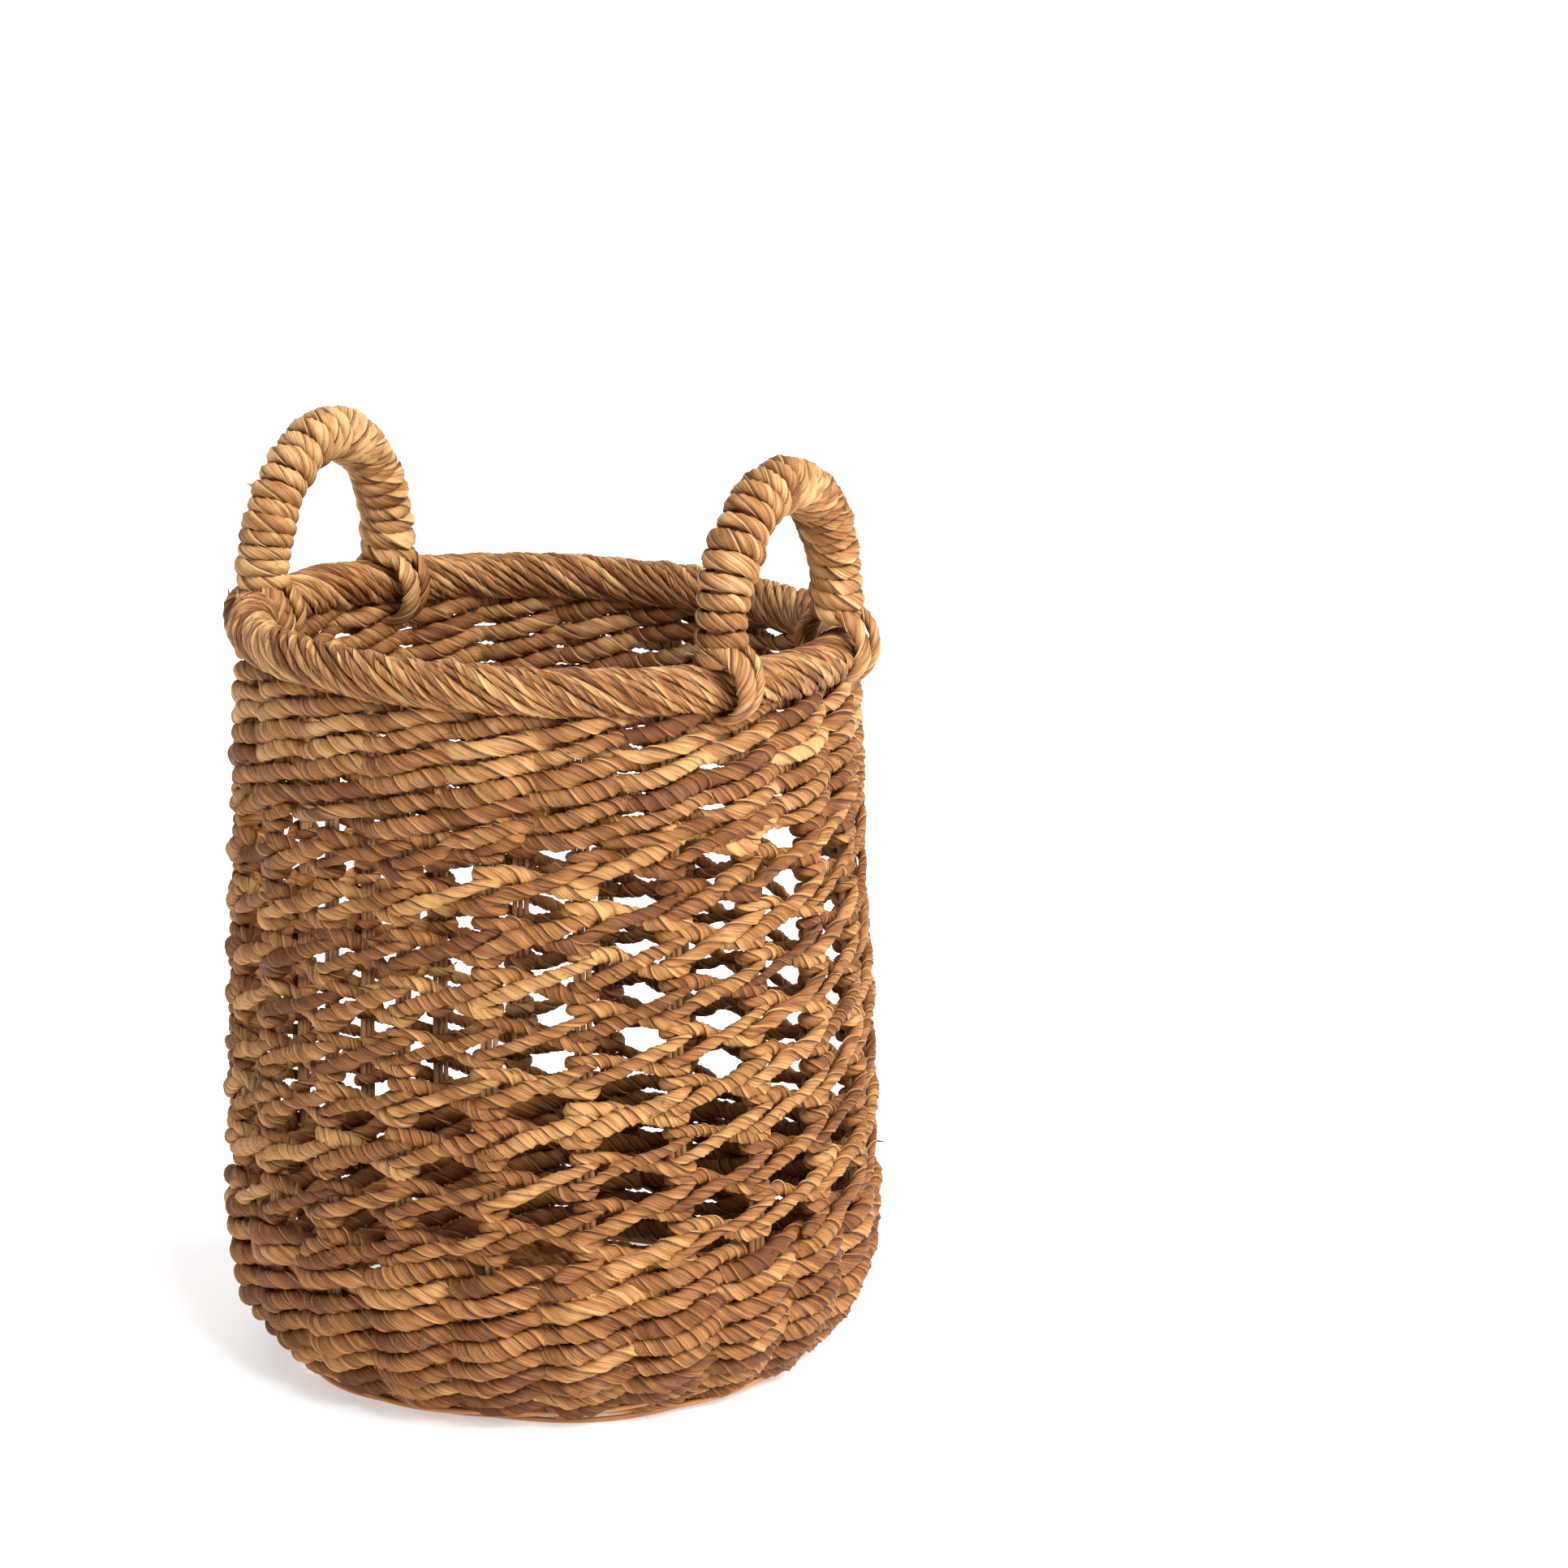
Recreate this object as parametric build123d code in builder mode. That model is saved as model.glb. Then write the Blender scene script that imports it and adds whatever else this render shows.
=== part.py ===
"""Woven laundry basket with two loop handles, as an assembly of its separate pieces.

Millimetres, +Z up. The origin is the centre of the resting face, under the middle of the base.
The handles stand at +X and -X. A wall of paired strands is held by upright stakes, closely woven at
the bottom and the top and open in between, and the mouth is a roped border round a stiff hoop.
"""
from build123d import *
from math import atan, cos, radians, sin
import os

os.makedirs("parts", exist_ok=True)

# ---- driving dimensions -------------------------------------------------------------------------
stake_count = 22
rod_radius = 1.65           # thin rattan rod: three make a stake, one makes a foot hoop
rod_pitch = 3.4             # spacing of the rods in a stake
fit_gap = 0.3               # air left between neighbouring pieces

belly_radius = 183.0        # middle of the wall at its widest
belly_height = 130.0
base_inset = 41.0           # how far the wall comes in at the bottom
base_turn = 4.2             # how suddenly it comes in
neck_inset = 14.0           # how far the wall comes in at the rim
neck_turn = 1.3

rim_height = 424.5          # middle of the rim's thickness
rim_radius = 169.0          # middle of the rim's thickness
rim_thickness = 28.0
hoop_thickness = 12.0
rim_slot = 5.4              # opening under the border that takes the stake tops

lower_strand = 10.8         # thickness of a strand in the lower band
lower_pitch = 12.8
lower_first = 14.0          # height of the first course
lower_courses = 8

upper_strand = 9.6
upper_pitch = 10.2
upper_top = 396.5           # height of the top course
upper_courses = 6

lattice_strand = 10.0
lattice_pairs = 8           # strand pairs that climb the wall side by side
lattice_pitch = 28.0        # height from one row to the next
lattice_low = 107.0         # lowest start of a pair
lattice_high = 334.0        # no pair ends above this
lattice_gap = 1.5           # air between a climbing strand and the stakes
course_gap = 0.8            # air between a level strand and the stakes: it runs straight past three rods

strand_sides = 8            # a plain strand has flat sides
round_sides = 12            # a wrapped rope has more

base_radius = 146.0
base_layer = 3.6            # thickness of the weave under and over the spokes
base_edge = 1.2             # rounding of its edge
base_step = 6.0             # how far the upper layer stops short of the lower one
spoke_inner = 26.0
slath_radius = 24.0         # round knot where the spokes are tied together
foot_hoops = {"foot_hoop_lower": (151.6, 1.9), "foot_hoop_upper": (155.2, 5.2)}

handle_foot_angle = 21.0    # each foot, round the rim from the handle's middle
handle_thickness = 31.0
handle_core = 14.0
handle_arch_height = 100.5  # from the middle of the rim to the middle of the handle
lash_strand = 5.2
lash_clearance = 3.4        # air between the rim and a lashing, which turns round it as the handle rocks
leg_clearance = 0.1
lash_spacing = 5.8          # between the two turns at one foot

# ---- derived sizes ------------------------------------------------------------------------------
rod_height = base_layer + fit_gap + rod_radius
spoke_outer = 147.0
stake_top = rim_height - hoop_thickness / 2 - fit_gap
pair_spacing = stake_count / lattice_pairs
lattice_step = lattice_pitch / pair_spacing     # rise from one stake to the next
half_side = 180 / strand_sides                  # turns a flat side to the stakes
foot_x = rim_radius * cos(radians(handle_foot_angle))
foot_y = rim_radius * sin(radians(handle_foot_angle))
lash_radius = rim_thickness / 2 + lash_clearance + lash_strand / 2
leg_bottom = rim_height + lash_radius + lash_strand / 2 + leg_clearance
arch_rise = rim_height + handle_arch_height - leg_bottom


def wall_radius(height):
    """Radius of the middle of the wall at a height."""
    if height < belly_height:
        return belly_radius - base_inset * (1 - height / belly_height) ** base_turn
    climb = (height - belly_height) / (rim_height - belly_height)
    return belly_radius - neck_inset * climb ** neck_turn


def wall_lean(height, step=0.5):
    """How far the wall leans outward from upright at a height, in radians."""
    return atan((wall_radius(height + step) - wall_radius(height - step)) / (2 * step))


def strand_hoops(height, strand):
    """Middle radius and height of the strand outside the stakes and of the strand inside them."""
    lean = wall_lean(height)
    reach = rod_radius + course_gap + strand / 2
    return [
        (wall_radius(height) + side * reach * cos(lean), height - side * reach * sin(lean))
        for side in (1, -1)
    ]


def corner(stake, radius, height):
    """Point at a stake, counted round the basket, or between two stakes at half a count."""
    turn = radians(360 / stake_count * stake)
    return Vector(radius * cos(turn), radius * sin(turn), height)


def ring_corners(radius, height, corners):
    """Corners of a closed ring that starts and ends half way along a side."""
    points = [corner(stake_count / corners * number, radius, height) for number in range(corners)]
    start = (points[-1] + points[0]) / 2
    return [start, *points, start]


def section_plane(start, heading, lean):
    """Plane across a ring's start: local x points away from the leaning wall, and local y up it."""
    outward = Vector(start.X, start.Y, 0).normalized() * cos(lean) - Vector(0, 0, sin(lean))
    return Plane(origin=start, x_dir=outward, z_dir=-heading)


def upright_plane(angle, sideways=0.0):
    """Plane through the axis at an angle: local x runs outward, local y runs up."""
    outward = Vector(cos(radians(angle)), sin(radians(angle)), 0)
    across = Vector(sin(radians(angle)), -cos(radians(angle)), 0)
    return Plane(origin=across * sideways, x_dir=outward, z_dir=across)


def write(piece, name):
    """Label one finished piece and write it to its own file."""
    piece.part.label = name
    export_step(piece.part, f"parts/{name}.step")


# ---- base: spokes between two layers of weave -----------------------------------------------------
with BuildPart() as base_weave_under:
    with BuildSketch(Plane.XY):
        Circle(base_radius)
    extrude(amount=base_layer)
    fillet(base_weave_under.edges().group_by(Axis.Z)[-1], radius=base_edge)
write(base_weave_under, "base_weave_under")

with BuildPart() as base_spokes:
    with BuildSketch(Plane.XY.offset(base_layer + fit_gap)):
        Circle(slath_radius)
    extrude(amount=2 * rod_radius)
    with PolarLocations(0, stake_count):
        with Locations(Location((spoke_inner, 0, rod_height), (0, 90, 0))):
            Cylinder(rod_radius, spoke_outer - spoke_inner, align=(Align.CENTER, Align.CENTER, Align.MIN))
write(base_spokes, "base_spokes")

with BuildPart() as base_weave_over:
    with BuildSketch(Plane.XY.offset(rod_height + rod_radius + fit_gap)):
        Circle(base_radius - base_step)
    extrude(amount=base_layer)
    fillet(base_weave_over.edges().group_by(Axis.Z)[-1], radius=base_edge)
write(base_weave_over, "base_weave_over")

# ---- foot: two thin hoops round the edge of the base ----------------------------------------------
for name, (radius, height) in foot_hoops.items():
    with BuildPart() as foot_hoop:
        with Locations((0, 0, height)):
            Torus(radius, rod_radius)
    write(foot_hoop, name)

# ---- stakes: three rods side by side, from the base edge up into the rim ----------------------------
stake_heights = [rod_height, 14, 24, 34, 46, 58, 72, 88, 108, belly_height, 220, 330, stake_top]
for number in range(stake_count):
    angle = 360 / stake_count * number
    with BuildPart() as stake:
        for sideways in (-rod_pitch, 0, rod_pitch):
            plane = upright_plane(angle, sideways)
            with BuildLine(plane) as run:
                Polyline([(wall_radius(height), height) for height in stake_heights])
            with BuildSketch(Plane(origin=run.line @ 0, z_dir=run.line % 0)):
                Circle(rod_radius)
            sweep(path=run.line, transition=Transition.RIGHT)
    write(stake, f"stake_{number + 1:02d}")

# ---- close bands: each course is one strand outside the stakes and one inside ------------------------
lower_heights = [lower_first]
while len(lower_heights) < lower_courses:
    lower_heights.append(lower_heights[-1] + lower_pitch * cos(wall_lean(lower_heights[-1])))
upper_heights = [upper_top - upper_pitch * number for number in range(upper_courses)]

for band, heights, strand in (("lower", lower_heights, lower_strand), ("upper", upper_heights, upper_strand)):
    for number, height in enumerate(heights):
        with BuildPart() as course:
            for radius, middle in strand_hoops(height, strand):
                with BuildLine() as run:
                    Polyline(ring_corners(radius, middle, stake_count))
                with BuildSketch(section_plane(run.line @ 0, run.line % 0, wall_lean(height))):
                    RegularPolygon(strand / 2, strand_sides, rotation=half_side)
                sweep(path=run.line, transition=Transition.RIGHT)
        write(course, f"{band}_course_{number + 1}")

# ---- open lattice: strand pairs that climb the wall in parallel spirals, straight from stake to stake --
lattice_reach = rod_radius + lattice_gap + lattice_strand / 2
for number in range(lattice_pairs):
    first_stake = round(pair_spacing * number)
    start = lattice_low + lattice_step * (0.5 + first_stake - pair_spacing * number)
    rises = range(int((lattice_high - start) / lattice_step) + 1)
    with BuildPart() as pair:
        for side in (1, -1):
            with BuildLine() as run:
                Polyline([
                    corner(
                        first_stake + rise,
                        wall_radius(start + lattice_step * rise) + side * lattice_reach,
                        start + lattice_step * rise,
                    )
                    for rise in rises
                ])
            with BuildSketch(Plane(origin=run.line @ 0, x_dir=(0, 0, 1), z_dir=run.line % 0)):
                RegularPolygon(lattice_strand / 2, strand_sides, rotation=half_side)
            sweep(path=run.line, transition=Transition.RIGHT)
    write(pair, f"lattice_pair_{number + 1}")

# ---- rim: a stiff hoop inside a roped border, open underneath for the stakes ---------------------------
with BuildPart() as rim_hoop:
    with BuildLine() as run:
        Polyline(ring_corners(rim_radius, rim_height, 2 * stake_count))
    with BuildSketch(section_plane(run.line @ 0, run.line % 0, 0)):
        Circle(hoop_thickness / 2)
    sweep(path=run.line, transition=Transition.RIGHT)
write(rim_hoop, "rim_hoop")

with BuildPart() as rim_border:
    with BuildLine() as run:
        Polyline(ring_corners(rim_radius, rim_height, 2 * stake_count))
    with BuildSketch(section_plane(run.line @ 0, run.line % 0, 0)):
        RegularPolygon(rim_thickness / 2, round_sides)
        Circle(hoop_thickness / 2 + fit_gap, mode=Mode.SUBTRACT)
        with Locations((0, -rim_thickness / 2)):
            Rectangle(rim_slot, rim_thickness, mode=Mode.SUBTRACT)
    sweep(path=run.line, transition=Transition.RIGHT)
write(rim_border, "rim_border")

# ---- handles: a bent core, the strand wrapped round it, and a lashing round the rim at each foot --------
for name, side in (("right", 1), ("left", -1)):
    arch_plane = Plane(origin=(side * foot_x, 0, 0), x_dir=(0, 1, 0), z_dir=(1, 0, 0))
    with BuildLine(arch_plane) as arch:
        EllipticalCenterArc((0, leg_bottom), foot_y, arch_rise, arc_size=180)
    foot_plane = Plane(origin=(side * foot_x, foot_y, leg_bottom), z_dir=(0, 0, 1))

    with BuildPart() as handle_bundle:
        with BuildSketch(foot_plane):
            Circle(handle_core / 2)
        sweep(path=arch.line)
    write(handle_bundle, f"handle_{name}_core")

    with BuildPart() as handle_wrap:
        with BuildSketch(foot_plane):
            RegularPolygon(handle_thickness / 2, round_sides)
            Circle(handle_core / 2 + fit_gap / 2, mode=Mode.SUBTRACT)
        sweep(path=arch.line)
    write(handle_wrap, f"handle_{name}_wrap")

    for foot, end in (("front", -1), ("back", 1)):
        with BuildPart() as lashing:
            for turn in (-lash_spacing / 2, lash_spacing / 2):
                foot_middle = (side * foot_x, end * foot_y + turn, rim_height)
                with BuildSketch(Plane(origin=foot_middle)):
                    with Locations((lash_radius, 0)):
                        RegularPolygon(lash_strand / 2, strand_sides, rotation=half_side)
                revolve(axis=Axis(foot_middle, (0, 1, 0)))
        write(lashing, f"handle_{name}_lashing_{foot}")
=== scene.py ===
"""Dresses the woven laundry basket: leaf strands, rattan rods, the roped rim and the wrapped handles."""

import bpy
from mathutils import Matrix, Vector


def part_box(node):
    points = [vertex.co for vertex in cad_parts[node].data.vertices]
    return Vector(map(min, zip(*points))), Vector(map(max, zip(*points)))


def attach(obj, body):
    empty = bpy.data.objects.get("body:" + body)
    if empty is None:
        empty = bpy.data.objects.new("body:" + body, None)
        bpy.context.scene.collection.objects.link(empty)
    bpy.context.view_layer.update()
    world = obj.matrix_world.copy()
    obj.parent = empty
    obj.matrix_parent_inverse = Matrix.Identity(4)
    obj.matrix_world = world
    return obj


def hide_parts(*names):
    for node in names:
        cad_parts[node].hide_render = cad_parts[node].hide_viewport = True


bl_info = {
    "name": "Woven Laundry Basket",
    "version": (1, 0, 0),
    "blender": (4, 5, 0),
    "location": "3D View > Sidebar > Basket",
    "description": "Weaves a round laundry basket of twisted leaf strands over its packed frame",
    "category": "Add Mesh",
}

from math import atan2, cos, pi, radians, sin

import bpy
import numpy as np
from bpy.props import FloatProperty, FloatVectorProperty, IntProperty, PointerProperty
from mathutils import Vector

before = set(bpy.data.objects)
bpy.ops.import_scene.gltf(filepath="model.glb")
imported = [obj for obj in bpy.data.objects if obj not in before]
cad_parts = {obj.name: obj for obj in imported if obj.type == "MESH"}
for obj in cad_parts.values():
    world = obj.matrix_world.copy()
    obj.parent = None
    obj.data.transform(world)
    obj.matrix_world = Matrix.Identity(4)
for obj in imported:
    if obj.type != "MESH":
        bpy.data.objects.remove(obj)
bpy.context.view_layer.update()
MM = 0.001
UP = np.array([0.0, 0.0, 1.0])


def middle(node):
    """Centre of a node's box in the frame."""
    low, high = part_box(node)
    return [(a + b) / 2 for a, b in zip(low, high)]


def span(node, axis):
    """Size of a node's box along one axis."""
    low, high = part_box(node)
    return high[axis] - low[axis]


def length_prop(name, description, default, low=0.0, high=5.0):
    """A length in metres for the panel."""
    return FloatProperty(name=name, description=description, default=default, min=low, max=high,
                         subtype="DISTANCE", unit="LENGTH", precision=5)


def angle_prop(name, description, default):
    """An angle for the panel, given in degrees."""
    return FloatProperty(name=name, description=description, default=radians(default),
                         subtype="ANGLE", unit="ROTATION")


def colour_prop(name, description, default):
    """A colour for the panel."""
    return FloatVectorProperty(name=name, description=description, default=default, min=0.0, max=1.0,
                               size=3, subtype="COLOR")


# ---- settings that a user would change -----------------------------------------------------------
class BasketWallSettings(bpy.types.PropertyGroup):
    """Shape of the wall and of its handmade unevenness."""

    stake_count: IntProperty(name="Stakes", description="Uprights round the wall", default=22, min=8, max=60)
    belly_radius: length_prop("Belly radius", "Middle of the wall at its widest", 0.183)
    belly_height: length_prop("Belly height", "Height of the widest place", 0.130)
    base_inset: length_prop("Base inset", "How far the wall comes in at the bottom", 0.041)
    base_turn: FloatProperty(name="Base turn", description="How suddenly the bottom comes in",
                             default=4.2)
    neck_inset: length_prop("Neck inset", "How far the wall comes in at the rim", 0.014)
    neck_turn: FloatProperty(name="Neck turn", description="How late the wall comes in at the rim",
                             default=1.3)
    rim_height: length_prop("Rim height", "Middle of the rim", middle("rim_hoop")[2])
    rim_radius: length_prop("Rim radius", "Middle of the rim", span("rim_hoop", 0) / 2 - 0.006)
    rim_tilt: length_prop("Rim tilt", "How far one side of the rim stands above the middle", 0.007)
    tilt_angle: angle_prop("Tilt side", "Side of the basket where the rim is highest", 225)
    stake_wander: length_prop("Stake wander", "How far a stake strays sideways", 0.0022)


class BasketStrandSettings(bpy.types.PropertyGroup):
    """Sizes of the strands and how they twist."""

    lower_width: length_prop("Lower strand", "Width of a strand in the lower band", 0.0118)
    lattice_width: length_prop("Lattice strand", "Width of a strand in the open lattice", 0.0080)
    upper_width: length_prop("Upper strand", "Width of a strand in the upper band", 0.0102)
    lower_weave: length_prop("Lower weave", "How far a strand of the lower band rises and falls", 0.0052)
    upper_weave: length_prop("Upper weave", "How far a strand of the upper band rises and falls", 0.0046)
    under_rim: length_prop("Under rim", "How far the top course is pushed up under the rim", 0.0095)
    rod_width: length_prop("Rod", "Thickness of a rattan rod", 0.0033)
    twist: length_prop("Twist", "Length of one full twist of a strand", 0.018)
    leaf_edge: FloatProperty(name="Leaf edge", description="Height of a leaf's lip over its strand",
                             default=0.20)
    ring_step: length_prop("Ring step", "Distance between the rings of a strand's mesh", 0.0014)
    long_step: length_prop("Long ring step", "The same in the base and the rim", 0.0024)
    cord_width: length_prop("Rim cord", "Width of a cord in the rim", 0.0051)
    coil_pitch: length_prop("Coil pitch", "Distance between the turns on a handle", 0.0092)
    coil_width: length_prop("Coil strand", "Width of the strand on a handle", 0.0100)
    tail_width: length_prop("Tail", "Width of a tail at a handle's foot", 0.0098)


class BasketColourSettings(bpy.types.PropertyGroup):
    """Colours of dried leaf and rattan."""

    leaf_light: colour_prop("Light leaf", "Sunlit, bleached leaf", (0.66, 0.36, 0.130))
    leaf_mid: colour_prop("Leaf", "Most of the leaf", (0.36, 0.145, 0.040))
    leaf_dark: colour_prop("Dark leaf", "Browned leaf", (0.155, 0.050, 0.012))
    pale_light: colour_prop("Light pale leaf", "Bleached leaf of the rim and handles", (0.70, 0.42, 0.18))
    pale_mid: colour_prop("Pale leaf", "Leaf of the rim and handles", (0.385, 0.170, 0.054))
    # crease is painted shade deep in a fold, under the lip of each leaf; the same colour also marks cracks
    # in the leaf and specks on the rattan
    crease: colour_prop("Crease", "Colour deep in a fold", (0.045, 0.013, 0.004))
    rattan: colour_prop("Rattan", "Peeled rattan rods", (0.38, 0.19, 0.075))
    rattan_foot: colour_prop("Foot rattan", "Rods round the foot", (0.40, 0.17, 0.050))


class BasketStageSettings(bpy.types.PropertyGroup):
    """Camera and room."""

    view_side: angle_prop("View side", "Side of the basket that the camera looks at", 35)
    distance: length_prop("Distance", "Camera to the basket's axis, along the floor", 2.786, high=20)
    height: length_prop("Height", "Camera above the floor", 1.011)
    look_aside: angle_prop("Look aside", "How far the camera looks to the right of the basket", 2.797)
    look_down: angle_prop("Look down", "How far the camera looks down", 13.67)
    lens: FloatProperty(name="Lens", description="Focal length", default=113.7, unit="CAMERA")
    floor: colour_prop("Floor", "Plain pale floor", (0.93, 0.93, 0.94))


def polar(radius, angle, height):
    """Points at a distance and an angle round the basket's axis."""
    parts = np.broadcast_arrays(radius * np.cos(angle), radius * np.sin(angle), height)
    return np.stack(parts, axis=-1)


# ---- the wall: where a strand can lie ------------------------------------------------------------
class Wall:
    """The wall's surface, with its stakes, as points in the frame."""

    def __init__(self, settings):
        self.set = settings
        rng = np.random.default_rng(11)
        stray = rng.uniform(-1, 1, (3, settings.stake_count))       # low, halfway up and at the rim
        self.sway = stray * settings.stake_wander / settings.belly_radius

    def radius(self, height):
        """Radius of the middle of the wall."""
        s = self.set
        low = np.clip(1 - height / s.belly_height, 0, 1)
        high = np.clip((height - s.belly_height) / (s.rim_height - s.belly_height), 0, 1.2)
        return s.belly_radius - s.base_inset * low ** s.base_turn - s.neck_inset * high ** s.neck_turn

    def lean(self, height):
        """How far the wall leans outward from upright."""
        step = 0.5 * MM
        return np.arctan((self.radius(height + step) - self.radius(height - step)) / (2 * step))

    def lift(self, angle, height):
        """How far the tilted rim lifts the wall."""
        s = self.set
        share = np.clip((height - 0.06) / (s.rim_height - 0.06), 0, 1.3)
        return s.rim_tilt * share * np.cos(angle - s.tilt_angle)

    def angle(self, place, height):
        """Angle of a place counted in stakes, following the stakes' own wander."""
        count = self.set.stake_count
        row = np.clip(height / self.set.rim_height * 2, 0, 1.999)
        level = np.floor(row).astype(int)
        share = row - level
        whole = np.floor(place).astype(int)
        part = place - whole
        sway = 0
        for add, weight in ((0, 1 - part), (1, part)):
            stake = (whole + add) % count
            here = self.sway[level, stake] * (1 - share) + self.sway[level + 1, stake] * share
            sway = sway + weight * here
        return 2 * pi * place / count + sway

    def point(self, place, height, out=0.0, along=0.0):
        """Points at places counted in stakes, standing out from the wall and shifted along it."""
        values = (np.asarray(v, float) for v in (place, height, out, along))
        place, height, out, along = np.broadcast_arrays(*values)
        radius, lean = self.radius(height), self.lean(height)
        reach = radius + out * np.cos(lean)
        angle = self.angle(place, height) + along / radius
        rise = height - out * np.sin(lean) + self.lift(angle, height)
        return polar(reach, angle, rise)


# ---- strands: twisted leaf swept along a run -----------------------------------------------------
def unit(vectors):
    """Vectors made one long."""
    return vectors / np.maximum(np.linalg.norm(vectors, axis=-1, keepdims=True), 1e-12)


def wander(rng, along, reach):
    """Smooth random values between -1 and 1 along a strand, changing over the given reach."""
    place = (along - along[0]) / reach + rng.uniform(0, 1)
    values = rng.uniform(-1, 1, int(place[-1]) + 3)
    low = np.floor(place).astype(int)
    share = place - low
    share = share * share * (3 - 2 * share)
    return values[low] * (1 - share) + values[low + 1] * share


def through(points, fine=10):
    """A smooth dense run through the points."""
    points = np.asarray(points, float)
    ends = np.vstack([2 * points[0] - points[1], points, 2 * points[-1] - points[-2]])
    t = np.linspace(0, 1, fine, endpoint=False)[:, None]
    a, b, c, d = (ends[i:len(ends) - 3 + i][:, None] for i in range(4))
    bend, twist = 2 * a - 5 * b + 4 * c - d, 3 * b - a - 3 * c + d
    run = 0.5 * (2 * b + (c - a) * t + bend * t ** 2 + twist * t ** 3)
    return np.vstack([run.reshape(-1, points.shape[1]), points[-1:]])


def distance_along(run):
    """How far each point of a run is from its start."""
    return np.concatenate([[0], np.cumsum(np.linalg.norm(np.diff(run[:, :3], axis=0), axis=1))])


def sides_of(run, outward):
    """A run's direction at each point, its outward side made square to that, and the side across both."""
    heading = unit(np.gradient(run, axis=0))
    outward = unit(outward - np.sum(outward * heading, axis=1, keepdims=True) * heading)
    return heading, outward, np.cross(heading, outward)


def evenly(run, step):
    """The run with its points the same distance apart."""
    along = distance_along(run)
    places = np.linspace(0, along[-1], max(int(along[-1] / step), 4) + 1)
    return np.stack([np.interp(places, along, run[:, i]) for i in range(run.shape[1])], axis=1)


class Bundle:
    """Strands gathered into one mesh piece."""

    def __init__(self, name):
        self.name = name
        self.points, self.shades = [], []
        self.corners, self.sizes, self.maps, self.creases = [], [], [], []
        self.total = 0

    def add_rings(self, rings, around, along, shade, sharp=()):
        """One tube of rings, closed with a tip at each end. around is each ring point's place, from 0 to 1.

        sharp lists the ring points whose lines along the tube are creases.
        """
        count, sides = rings.shape[:2]
        start = self.total
        tips = np.stack([rings[0].mean(0), rings[-1].mean(0)])
        self.points += [rings.reshape(-1, 3), tips]
        self.shades += [np.repeat(shade, sides, axis=0), shade[[0, -1]]]
        self.total += count * sides + 2
        ring, side = np.meshgrid(np.arange(count - 1), np.arange(sides), indexing="ij")
        after = (side + 1) % sides
        quads = np.stack([ring * sides + side, ring * sides + after,
                          (ring + 1) * sides + after, (ring + 1) * sides + side], axis=-1).reshape(-1, 4)
        right = np.where(after == 0, 1.0 + around[0], around[after])
        u = np.stack([around[side], right, right, around[side]], axis=-1).reshape(-1)
        v = np.stack([along[ring], along[ring], along[ring + 1], along[ring + 1]], axis=-1).reshape(-1)
        self.corners.append((quads + start).reshape(-1))
        self.sizes.append(np.full(len(quads), 4))
        self.maps.append(np.stack([u, v], axis=1))
        side = np.arange(sides)
        after = (side + 1) % sides
        for tip, base, flip in ((0, 0, True), (1, (count - 1) * sides, False)):
            a, b = (base + after, base + side) if flip else (base + side, base + after)
            fan = np.stack([np.full(sides, count * sides + tip), a, b], axis=1)
            self.corners.append((fan + start).reshape(-1))
            self.sizes.append(np.full(sides, 3))
            self.maps.append(np.repeat([[0.5, along[0 if flip else -1]]], 3 * sides, axis=0))
        ring = np.arange(count - 1) * sides + start
        for seam in sharp:
            self.creases.append(np.stack([ring + seam, ring + sides + seam], axis=1))

    def piece(self, material):
        """The finished mesh object."""
        mesh = bpy.data.meshes.new(self.name)
        points = np.vstack(self.points)
        points[:, 2] = np.maximum(points[:, 2], 0.0)        # leaf that would reach the floor lies flat on it
        corners = np.concatenate(self.corners)
        sizes = np.concatenate(self.sizes)
        mesh.vertices.add(len(points))
        mesh.vertices.foreach_set("co", points.astype(np.float32).reshape(-1))
        mesh.loops.add(len(corners))
        mesh.loops.foreach_set("vertex_index", corners.astype(np.int32))
        mesh.polygons.add(len(sizes))
        starts = np.concatenate([[0], np.cumsum(sizes)[:-1]])
        mesh.polygons.foreach_set("loop_start", starts.astype(np.int32))
        mesh.update(calc_edges=True)
        strand_map = mesh.uv_layers.new(name="strand")
        strand_map.data.foreach_set("uv", np.vstack(self.maps).astype(np.float32).reshape(-1))
        shade = mesh.attributes.new("shade", "FLOAT_COLOR", "POINT")
        shade.data.foreach_set("color", np.vstack(self.shades).astype(np.float32).reshape(-1))
        mesh.polygons.foreach_set("use_smooth", np.ones(len(sizes), bool))
        if self.creases:
            edges = np.zeros(len(mesh.edges) * 2, np.int32)
            mesh.edges.foreach_get("vertices", edges)
            key = np.sort(edges.reshape(-1, 2), axis=1).astype(np.int64)
            crease = np.sort(np.vstack(self.creases), axis=1).astype(np.int64)
            sharp = np.isin(key @ [self.total, 1], crease @ [self.total, 1])
            mark = mesh.attributes.new("sharp_edge", "BOOLEAN", "EDGE")
            mark.data.foreach_set("value", sharp)
        mesh.validate()
        obj = bpy.data.objects.new(self.name, mesh)
        bpy.context.scene.collection.objects.link(obj)
        mesh.materials.append(material)
        return obj


FOLD_POINTS = (0.05, 0.35, 0.67, 0.95)      # points across one fold of leaf, from under its edge to its lip


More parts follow.
